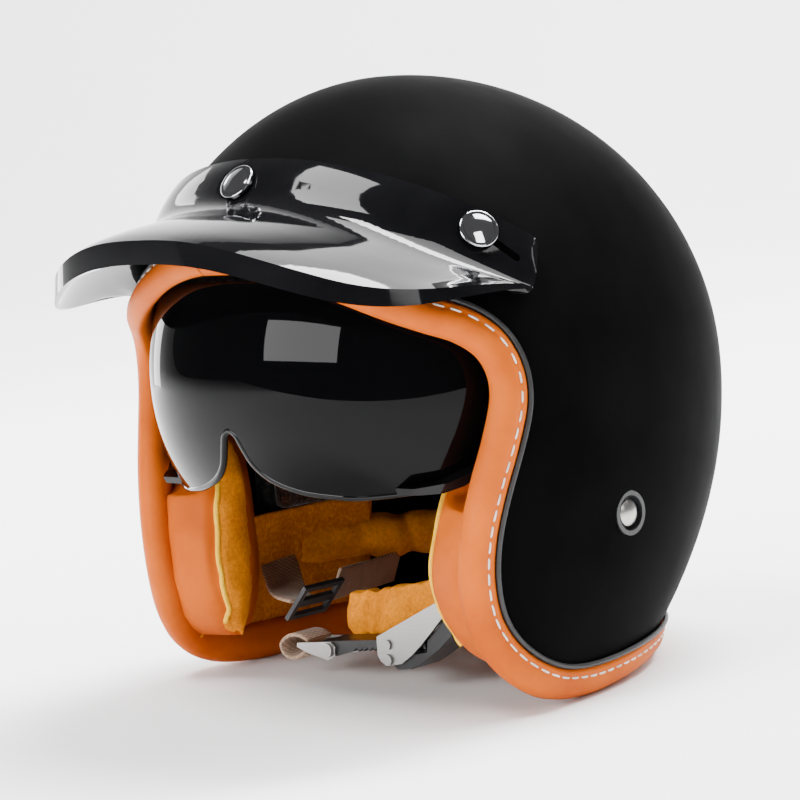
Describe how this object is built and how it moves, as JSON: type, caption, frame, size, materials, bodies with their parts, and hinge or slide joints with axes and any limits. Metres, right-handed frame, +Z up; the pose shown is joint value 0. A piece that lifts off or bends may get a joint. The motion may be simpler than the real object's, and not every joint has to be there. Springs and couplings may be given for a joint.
{
  "type": "open face motorcycle helmet",
  "caption": "Open face helmet with a detachable peak on three press studs, a drop-down smoked visor, leather trimmed rim, padded lining and a ratchet chin strap.",
  "frame": {"origin": "centre of the bounding box at the level of the lowest edge of the leather trim", "axes": "+X to the wearer's left, -Y forward (the peak points along -Y), +Z up"},
  "size_m": [0.236, 0.2975, 0.2562],
  "materials": {
    "matt_black_shell": "fine satin lacquer over glass fibre",
    "gloss_black": "high gloss",
    "smoke_lens": "dark smoked polycarbonate",
    "tan_leather": "smooth tan leatherette",
    "ochre_suede": "napped suede",
    "liner_fabric": "quilted dark knit",
    "black_foam": "expanded polystyrene, black",
    "black_plastic": "moulded nylon",
    "black_rubber": "extruded bead",
    "chrome": "polished",
    "steel": "brushed stainless",
    "webbing": "woven beige webbing"
  },
  "bodies": {
    "helmet": {"outer_shell": "matt_black_shell", "edge_trim": "tan_leather", "edge_piping": "black_rubber", "visor_pivot_block_left": "black_plastic", "visor_pivot_block_right": "black_plastic", "visor_washer_left": "black_plastic", "visor_washer_right": "black_plastic", "visor_pivot_screw_left": "steel", "visor_pivot_screw_right": "steel", "impact_foam": "black_foam", "crown_liner": "liner_fabric", "brow_pad": "liner_fabric", "head_band_pad": "liner_fabric", "cheek_pad_left": "tan_leather", "cheek_pad_right": "tan_leather", "pad_carrier_left": "black_plastic", "pad_carrier_right": "black_plastic", "pad_snaps_left": "black_plastic", "pad_snaps_right": "black_plastic", "neck_roll": "ochre_suede", "strap_hanger_left": "steel", "strap_hanger_right": "steel", "rivet_cup_left": "black_plastic", "rivet_cup_right": "black_plastic", "strap_rivet_left": "steel", "strap_rivet_right": "steel", "snap_stud_centre": "steel", "snap_stud_left": "steel", "snap_stud_right": "steel", "buckle_receiver": "steel", "lever_pin": "steel", "strap_bar": "steel", "plate_rivet": "steel", "lever_spring": "steel", "webbing_left": "webbing", "webbing_right": "webbing", "webbing_rear_leg": "webbing", "strap_sleeve": "ochre_suede", "webbing_slider": "black_plastic"},
    "peak_set": {"peak": "gloss_black", "snap_socket_centre": "steel", "snap_socket_left": "steel", "snap_socket_right": "steel", "snap_cap_centre": "chrome", "snap_cap_left": "chrome", "snap_cap_right": "chrome"},
    "sun_visor": {"sun_visor_lens": "smoke_lens", "visor_tab_left": "gloss_black", "visor_tab_right": "gloss_black"},
    "buckle_lever": {"release_lever": "black_plastic"},
    "tongue_set": {"ratchet_tongue": "black_plastic", "tongue_clip": "steel", "clip_rivet": "steel", "tongue_webbing": "webbing"}
  },
  "joints": [
    {"name": "sun_visor_tilt", "type": "hinge", "parent": "helmet", "child": "sun_visor", "pos_m": [0, -0.0121, 0.13464], "axis": [-1, 0, 0], "range_deg": [0, 48]},
    {"name": "peak_release", "type": "slide", "parent": "helmet", "child": "peak_set", "axis": [0, -1, 0], "range_m": [0, 0.1]},
    {"name": "release_lever_lift", "type": "hinge", "parent": "helmet", "child": "buckle_lever", "pos_m": [0.0142, -0.0321, 0.01344], "axis": [0, 1, 0], "range_deg": [0, 24], "stiffness_Nm_per_rad": 0.02, "springref_deg": -20.05},
    {"name": "tongue_slide", "type": "slide", "parent": "helmet", "child": "tongue_set", "axis": [-0.9945, 0, -0.1044], "range_m": [0, 0.026]}
  ]
}
